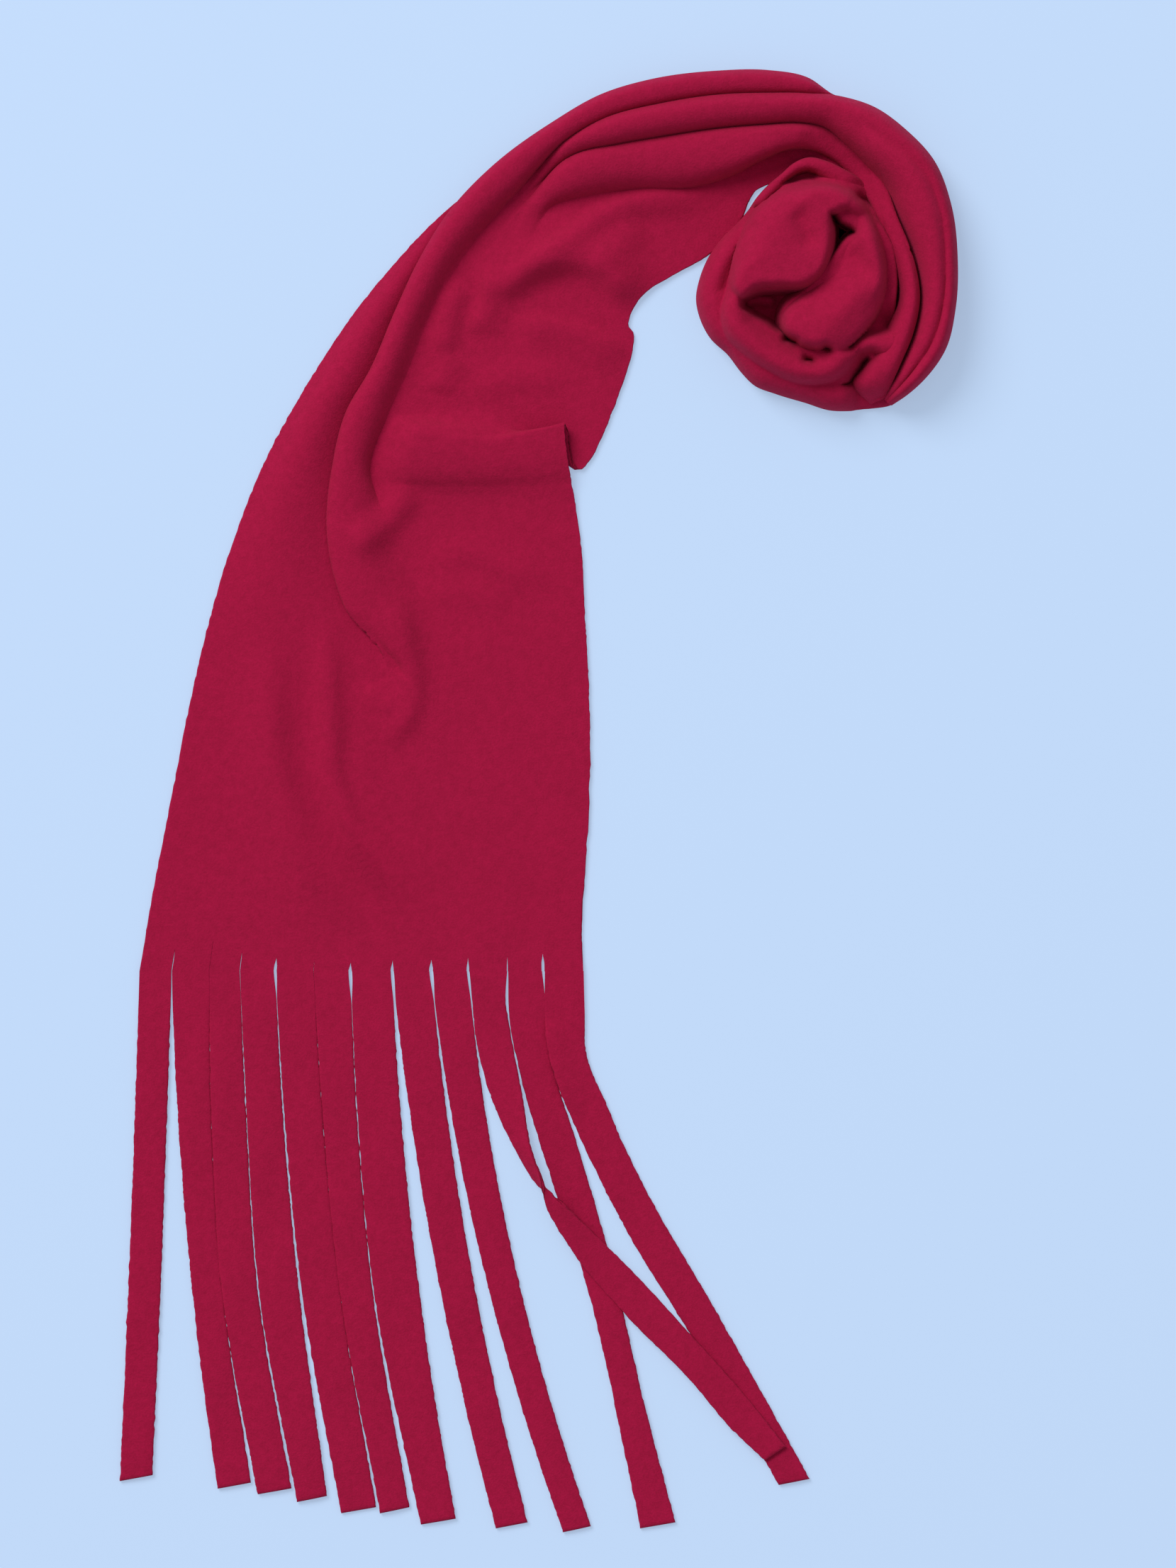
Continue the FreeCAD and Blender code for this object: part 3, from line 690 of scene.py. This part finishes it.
# The loop of cloth above the rose, along its crest.
LOOP_CREST = [
    (117, 317), (123, 323.6), (129.5, 330), (136.5, 335.6), (142.9, 337.2), (150.5, 335.4),
    (159, 331.4), (167, 326), (173, 319.5)]


def dome(plan, outline, top, base, roll, under=OUTSIDE):
    """A puffed fold over what is under it. It rolls down to base at its outline."""
    depth = inside_depth(plan, outline)
    rim = np.clip(1 - depth / roll, 0, 1)
    height = base + (top - base) * np.sqrt(np.maximum(1 - rim**2, 0))
    return np.maximum(under, np.where(depth > 0, height, OUTSIDE))


def hollow(plan, height, outline, bottom, slope):
    """Sink the cloth to a bottom inside an outline."""
    depth = inside_depth(plan, outline)
    share = ease(depth, 0, slope)
    return np.where(depth > 0, height * (1 - share) + np.minimum(bottom, height) * share, height)


def rose_height(plan):
    """How high the rose stands over each plan point."""
    x = plan[:, 0]
    y = plan[:, 1]
    right_side = ease(x, 158, 176) * ease(y, 236, 250)
    under_flap = ease(x, 160, 171) * (1 - ease(y, 222, 232))
    trough = ease(y, 324, 332) * (13 - 7 * ease(x, 146, 153))
    rim = 17.5 - np.maximum(3.5 * right_side, 10 * under_flap) - trough
    height = dome(plan, ROSE_EDGE, rim, 0.0, 9)
    tube = inside_depth(plan, ROSE_BAND)
    pocket = 20 - 12 * (1 - ease(y - 0.3 * (x - 181), 247, 266))
    height = dome(plan, POCKET, pocket, pocket - 1, 5, height)
    sag = 7 * ease(tube, 9, 20) * (1 - ease(y, 262, 280))
    soft = ease(y, 280, 305) * (1 - ease(x, 112, 132))
    hook = ease(x, 168, 186) * (1 - ease(y, 250, 262))
    height = dome(plan, ROSE_BAND, 29 - sag - 3.5 * hook, 4 + 12 * soft + 4 * hook,
                  8 + 8 * soft - 2 * hook, height)
    far = np.minimum(ease(156 - x, 8, 30), ease(y, 274, 296))
    height = dome(plan, LEFT_LOBE, 37, 15 + 10 * far, 4.2 + 13 * far, height)
    beside = ease(-inside_depth(plan, LEFT_LOBE), 0, 22)
    low_right = ease(x - 0.9 * (y - 250), 152, 166) * (1 - ease(y, 262, 276))
    joined = np.maximum(beside, ease(y, 307, 317))
    height = dome(plan, CENTRE_LOBE, 27 + 9 * joined - 3 * low_right, 18 + 6 * low_right,
                  5 + 4 * low_right, height)

    height = hollow(plan, height, MOUTH, 3, 4.4)
    height += 5 * bell(line_distance(plan, [(111, 264.5), (117, 265.5), (122, 264.5)])[0], 2.6)
    height = hollow(plan, height, FLAP_SLOT, 5, 1.6)
    height = hollow(plan, height, EYE, 2, 2.4)
    for points, depth, width in ROSE_DENTS:
        height -= depth * bell(line_distance(plan, points)[0], width)
    crest, _, run = line_distance(plan, LOOP_CREST)
    wide = 2.9 + 2.2 * ease(run, 0.45, 0.75)
    bulge = (6 - 2 * run) * np.sqrt(np.maximum(1 - (crest / wide) ** 2, 0))
    loop = 12 - 2 * run - 7 * ease(run, 0.8, 1) + bulge
    height = np.maximum(height, np.where(crest < wide, loop, OUTSIDE))
    height = hollow(plan, height, LOOP_SLOT, 6, 1.8)
    height -= 8 * bell(line_distance(plan, [(170, 319), (178, 314.5)])[0], 2.6)
    return height


def rose_mesh():
    """Points and faces of the rose: rings that follow its outline, closed at its middle."""
    line = smooth_line(ROSE_EDGE, True)[0]
    travel = travelled(line)
    around = 330
    rim = places(line, travel, np.linspace(0, travel[-1], around, endpoint=False))
    middle = np.array([141.0, 270.0])
    wall = 1 - np.linspace(0, 0.12, 12, endpoint=False) ** 1.25
    share = np.concatenate([wall, np.linspace(0.92, 0.02, 66)])
    plan = middle + (rim - middle)[None] * share[:, None, None]
    plan = np.concatenate([plan.reshape(-1, 2), middle[None]])
    height = rose_height(plan) - THICK / 2
    rings = len(share)
    body = height[:-1].reshape(rings, around)
    body[0] = LEVEL
    for _ in range(2):
        body[1:-1] = (body[1:-1] * 4 + body[:-2] + body[2:] + np.roll(body, 1, 1)[1:-1]
                      + np.roll(body, -1, 1)[1:-1]) / 8
    height[:-1] = body.ravel()
    height = np.maximum(height, LEVEL)
    points = np.column_stack([settle(plan, height) + SHIFT, height])
    number = np.arange(rings * around).reshape(rings, around)
    after = np.roll(number, -1, axis=1)
    quads = np.stack([number[:-1], number[1:], after[1:], after[:-1]], axis=-1).reshape(-1, 4)
    faces = [list(q) for q in quads]
    pole = rings * around
    faces += [[int(a), pole, int(b)] for a, b in zip(number[-1], after[-1])]
    return points, faces


# -------- the fringe
def root_x(number):
    """Where the cut to the left of a strip meets the root line. Strips count from 1."""
    return PANEL_LEFT + sum(s[0] for s in STRIPS[:number - 1])


# The edges of the two strips that swing to the right, between root and tip.
SWEPT = {
    11: ([(-15.2, -118), (-10.3, -142), (6, -198), (24.2, -252), (44.5, -340)],
         [(6.4, -135), (20.2, -181), (36.4, -236), (56.5, -321)]),
    12: ([(3, -100), (4.6, -130), (9.4, -148), (17, -167), (30.4, -196), (47.5, -229), (79, -280)],
         [(24.4, -112), (25.2, -133), (27.4, -141.5), (33.9, -155.7), (43.1, -177.8), (55.4, -203),
          (94.5, -271)]),
}
# Where neighbours lie edge to edge: two points of the cut to the right of a strip, and its gap
# at the second. It is half as wide at the first. Below 0 their piles press together.
SHARED = {
    2: ([(-173.2, -165), (-167.4, -258.7)], -0.45), 3: ([(-154.6, -165), (-148.2, -258.7)], 0.5),
    4: ([(-134.9, -165), (-126, -258.7)], 1.3), 5: ([(-114.4, -165), (-105.2, -258.7)], -0.4),
    6: ([(-96, -165), (-87.5, -258.7)], 0.45),
}


def strip_edges(number):
    """The two long edges of a strip, from root to tip."""
    root, tip, lean, length, bow = STRIPS[number - 1]
    left = root_x(number)
    right = root_x(number + 1)
    middle = (left + right) / 2
    tip_y = ROOT_LINE - length
    left_tip = (middle + lean - tip / 2, tip_y - 1.6)
    right_tip = (middle + lean + tip / 2, tip_y + 1.6)
    if number in SWEPT:
        inner_left, inner_right = SWEPT[number]
    else:
        half = (root + tip) / 4
        level = ROOT_LINE - length / 2
        inner_left = [(middle + lean / 2 + bow - half, level)]
        inner_right = [(middle + lean / 2 + bow + half, level)]
    if number in SHARED:
        line, gap = SHARED[number]
        inner_right = [(x - gap / 2 * k, y) for k, (x, y) in zip((0.5, 1), line)]
    if number - 1 in SHARED:
        line, gap = SHARED[number - 1]
        inner_left = [(x + gap / 2 * k, y) for k, (x, y) in zip((0.5, 1), line)]
    return ([(left, ROOT_LINE), *inner_left, left_tip],
            [(right, ROOT_LINE), *inner_right, right_tip])


def shares_down():
    """Row places down a strip, closer together at its root."""
    return np.concatenate([np.linspace(0, 0.1, 26, endpoint=False), np.linspace(0.1, 1, 200)])


def strip_grid(number):
    """A strip's middle surface, in millimetres, before its edges are softened."""
    left_points, right_points = strip_edges(number)
    down = shares_down()

    def side(points):
        line = smooth_line(points)[0] if len(points) > 3 else bowed(points)
        travel = travelled(line)
        return places(line, travel, down * travel[-1])

    left = side(left_points)
    right = side(right_points)
    if number > 1:
        left[:, 0] += gape(number - 2, left[:, 1])
    if number < 12:
        right[:, 0] -= gape(number - 1, right[:, 1])
    left[0, 1] = ROOT_LINE
    right[0, 1] = ROOT_LINE
    across = np.linspace(0, 1, STRIP_COLUMNS)
    plan = left[:, None] + (right - left)[:, None] * across[None, :, None]
    height = np.full(plan.shape[:2], LEVEL)
    swell = ease(down, 0.03, 0.2)[:, None] * (ripple(plan, 70, 20 + number) * 0.5 + 0.5)
    height += 1.1 * np.clip(swell, 0, 1) * (0.4 + 0.6 * np.sin(np.pi * across))[None, :]
    return np.concatenate([plan, height[:, :, None]], axis=2)


def bowed(points):
    """A gently bowed line through three points."""
    a, b, c = (np.asarray(p, float) for p in points)
    t = np.linspace(0, 1, 90)[:, None]
    return a * (1 - t) * (1 - 2 * t) + b * 4 * t * (1 - t) + c * t * (2 * t - 1)


def crossing_grid():
    """The strip that turns over once and lies across its two neighbours."""
    left = root_x(10)
    right = root_x(11)
    down = np.linspace(0, 10, 240)
    edge_one = guide({
        0: (left, -90), 1: (-35.2, -106), 2: (-33.4, -124), 3: (-25.6, -155), 4: (-11.6, -185),
        4.6: (0.4, -203.2), 5.2: (9, -209), 6: (23, -222.5), 7: (48.5, -247.5), 8: (79, -280.5),
        9: (111, -316.5), 10: (130.5, -341)}, down)
    edge_two = guide({
        0: (right, -90), 1: (-17.4, -106), 2: (-14.9, -122), 3: (-8.6, -156), 4: (-3, -187),
        4.6: (1.6, -199.8), 5.2: (3.2, -210.5), 6: (17, -236.5), 7: (45.5, -271), 8: (81, -307),
        9: (102.5, -332.5), 10: (119.6, -348.4)}, down)
    edge_one[:, 0] += gape(8, edge_one[:, 1]) * (1 - ease(down, 0.8, 1.5))
    edge_two[:, 0] -= gape(9, edge_two[:, 1]) * (1 - ease(down, 0.8, 1.5))
    across = np.linspace(0, 1, STRIP_COLUMNS)
    plan = edge_one[:, None] + (edge_two - edge_one)[:, None] * across[None, :, None]
    rest = amount({0: 0, 3.2: 0, 4.2: 0.6, 5: 2.6, 6: 2.75, 6.6: 2.2, 7.3: 1.6, 8: 2.4, 10: 2.7},
                  down)
    stand = amount({0: 0, 2: 0, 3: 2.2, 4: 5.5, 4.7: 6.6, 5.3: 5.6, 6: 1.6, 6.6: 0, 10: 0}, down)
    tilt = amount({0: 0, 4.2: 1, 5: 0.2, 5.6: -0.6, 6.6: -0.5, 10: 0}, down)
    curve = (across - 0.5)[None, :] * tilt[:, None] + 0.5
    height = LEVEL + rest[:, None] + stand[:, None] * np.clip(curve, 0, 1)
    height += 0.4 * ripple(plan, 60, 33) * ease(down, 1, 3)[:, None] + 0.2
    height[:3] = LEVEL
    return np.concatenate([plan, np.maximum(height, LEVEL)[:, :, None]], axis=2)


def strip_mesh(number):
    """Points, faces and edge thickness of one strip."""
    grid = crossing_grid() if number == 10 else strip_grid(number)
    grid = finer_edges(grid)
    rough = fuzz(grid.copy(), bpy.context.scene.scarf.roughness / MM, 100 + 3 * number)
    hold = ease(np.arange(len(grid)), 10, 40)[:, None, None]
    grid = grid * (1 - hold) + rough * hold
    if number == 12:
        over = ease(-grid[:, :, 1], 112, 124) * (1 - ease(-grid[:, :, 1], 150, 172))
        side = 1 - ease(np.linspace(0, 1, grid.shape[1]), 0.15, 0.7)
        grid[:, :, 2] += over * side[None, :] * 2.3
    height, width = grid.shape[:2]
    share = 1 - (1 - edge_softness(height, width)) * hold[:, :, 0]
    share[-1, :] = np.minimum(share[-1, :], 0.5)
    points = grid.reshape(-1, 3).copy()
    points[:, :2] += SHIFT
    return points, grid_faces(height, width).reshape(-1, 4)[:, ::-1], share.ravel()


# -------- stage and settings
# In metres. The floor reaches this far each way, and reflects this share of its own colour.
FLOOR_REACH = 6.0
FLOOR_SHADE = 0.42
WINDOW_PLACE = (-3.9, 4.9, 5.6)
WINDOW_TARGET = Vector((0, 0.1, 0))
# The camera looks straight down. VIEW_LENGTH is what the view's longer side takes in on the floor.
CAMERA_PLACE = (0.0263, 0.0097, 3.0)
VIEW_LENGTH = 0.8295
SENSOR = 36


class ScarfSettings(bpy.types.PropertyGroup):
    """What a user may change about the cloth"""
    thickness: bpy.props.FloatProperty(
        name="Cloth thickness", description="Thickness of the fleece, pile included",
        default=THICK * MM, min=0.0015, max=0.0026, unit="LENGTH", precision=4)
    roughness: bpy.props.FloatProperty(
        name="Cut roughness", description="How far the cut edges wander from a clean line",
        default=0.00024, min=0.0, max=0.0006, unit="LENGTH", precision=5)
    # Painted light and shade in the pile: crest is the lighter colour painted on the bump's high
    # points, and base is the darker colour painted in its hollows, where shade falls.
    crest: bpy.props.FloatVectorProperty(
        name="Pile colour", description="Colour of the tips of the pile",
        default=(0.440, 0.0055, 0.055), min=0.0, max=1.0, size=3, subtype="COLOR")
    base: bpy.props.FloatVectorProperty(
        name="Ground colour", description="Colour deep between the fibres",
        default=(0.270, 0.0026, 0.030), min=0.0, max=1.0, size=3, subtype="COLOR")
    pile: bpy.props.FloatProperty(
        name="Pile depth", description="How deep the brushed pile looks",
        default=0.0009, min=0.0, max=0.003, unit="LENGTH", precision=5)


class ScarfStageSettings(bpy.types.PropertyGroup):
    """What a user may change about the floor and the light"""
    floor: bpy.props.FloatVectorProperty(
        name="Floor colour", description="Colour of the pale floor",
        default=(0.57, 0.74, 1.0), min=0.0, max=1.0, size=3, subtype="COLOR")
    glow: bpy.props.FloatProperty(
        name="Floor glow", description="Share of the floor's brightness that shadows do not take away",
        default=0.52, min=0.0, max=1.0, subtype="FACTOR")
    power: bpy.props.FloatProperty(
        name="Window light", description="Power of the large soft lamp",
        default=560.0, min=0.0, max=3000.0, unit="POWER")
    width: bpy.props.FloatProperty(
        name="Window width", description="Width of the large soft lamp",
        default=5.0, min=0.5, max=10.0, unit="LENGTH")
    room: bpy.props.FloatProperty(
        name="Room light", description="Strength of the even light from all round",
        default=0.52, min=0.0, max=2.0)


# -------- operators
class SCARF_OT_cloth(bpy.types.Operator):
    """Lay the cloth, with its long folds, from the fringe to the coil"""
    bl_idname = "scarf.cloth"
    bl_label = "Laid cloth"

    def execute(self, context):
        points, faces, share = laid_mesh()
        piece = cloth_piece("laid_cloth", points, faces, fleece(), share)
        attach(piece, "scarf")
        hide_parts("flat_panel", "free_edge_sheet", "cross_pleat", "outer_fold", "middle_fold",
                    "inner_fold", "coil_outer_turn", "coil_middle_turn")
        return {"FINISHED"}


class SCARF_OT_rose(bpy.types.Operator):
    """Roll the rest of the cloth into the rose at the heart of the coil"""
    bl_idname = "scarf.rose"
    bl_label = "Coil rose"

    def execute(self, context):
        points, faces = rose_mesh()
        piece = cloth_piece("coil_rose", points, faces, fleece())
        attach(piece, "scarf")
        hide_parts("coil_inner_turn", "coil_heart")
        return {"FINISHED"}


class SCARF_OT_fringe(bpy.types.Operator):
    """Cut the twelve strips of the fringe"""
    bl_idname = "scarf.fringe"
    bl_label = "Fringe"

    def execute(self, context):
        for number, (root, tip, lean, length, _) in enumerate(STRIPS, start=1):
            points, faces, share = strip_mesh(number)
            piece = cloth_piece(f"cut_strip_{number:02d}", points, faces, fleece(), share)
            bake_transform(piece)
            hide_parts(f"fringe_strip_{number:02d}")
        return {"FINISHED"}


class SCARF_OT_stage(bpy.types.Operator):
    """Set the pale floor, the soft light and the camera"""
    bl_idname = "scarf.stage"
    bl_label = "Stage"

    def execute(self, context):
        settings = context.scene.scarf_stage
        floor_mesh = bpy.data.meshes.new("floor")
        far = FLOOR_REACH
        corners = [(-far, -far, 0), (far, -far, 0), (far, far, 0), (-far, far, 0)]
        floor_mesh.from_pydata(corners, [], [(0, 1, 2, 3)])
        floor = bpy.data.objects.new("floor", floor_mesh)
        context.scene.collection.objects.link(floor)
        paint = bpy.data.materials.new("pale floor")
        paint.use_nodes = True
        fill(paint.node_tree.nodes["Principled BSDF"], Roughness=0.9,
             Base_Color=(*[c * FLOOR_SHADE for c in settings.floor], 1),
             Emission_Color=(*settings.floor, 1), Emission_Strength=settings.glow)
        floor_mesh.materials.append(paint)

        world = bpy.data.worlds.new("soft room")
        world.use_nodes = True
        fill(world.node_tree.nodes["Background"], Color=(0.93, 0.96, 1, 1), Strength=settings.room)
        context.scene.world = world

        lamp = bpy.data.lights.new("window", "AREA")
        lamp.shape = "DISK"
        lamp.size = settings.width
        lamp.energy = settings.power
        window = bpy.data.objects.new("window", lamp)
        window.location = WINDOW_PLACE
        aim = WINDOW_TARGET - Vector(window.location)
        window.rotation_euler = aim.to_track_quat("-Z", "Y").to_euler()
        context.scene.collection.objects.link(window)

        lens = bpy.data.cameras.new("camera")
        lens.sensor_width = SENSOR
        lens.lens = SENSOR * CAMERA_PLACE[2] / VIEW_LENGTH
        camera = bpy.data.objects.new("camera", lens)
        camera.location = CAMERA_PLACE
        context.scene.collection.objects.link(camera)
        context.scene.camera = camera
        context.scene.view_settings.view_transform = "Standard"
        return {"FINISHED"}


class SCARF_PT_panel(bpy.types.Panel):
    """The steps that lay out the scarf, in order, and what can be changed"""
    bl_idname = "SCARF_PT_panel"
    bl_label = "Fleece scarf"
    bl_space_type = "VIEW_3D"
    bl_region_type = "UI"
    bl_category = "Scarf"

    def draw(self, context):
        layout = self.layout
        layout.use_property_split = True
        for settings in (context.scene.scarf_stage, context.scene.scarf):
            box = layout.box()
            for name in settings.bl_rna.properties.keys():
                if name not in ("rna_type", "name"):
                    box.prop(settings, name)
        for step in STEPS:
            layout.operator(step.bl_idname)


STEPS = (SCARF_OT_stage, SCARF_OT_cloth, SCARF_OT_rose, SCARF_OT_fringe)
CLASSES = (ScarfSettings, ScarfStageSettings, *STEPS, SCARF_PT_panel)


def register():
    for item in CLASSES:
        bpy.utils.register_class(item)
    bpy.types.Scene.scarf = bpy.props.PointerProperty(type=ScarfSettings)
    bpy.types.Scene.scarf_stage = bpy.props.PointerProperty(type=ScarfStageSettings)


def unregister():
    del bpy.types.Scene.scarf_stage
    del bpy.types.Scene.scarf
    for item in reversed(CLASSES):
        bpy.utils.unregister_class(item)


def main():
    register()
    bpy.ops.scarf.stage()
    bpy.ops.scarf.cloth()
    bpy.ops.scarf.rose()
    bpy.ops.scarf.fringe()


if __name__ == "__main__":
    main()
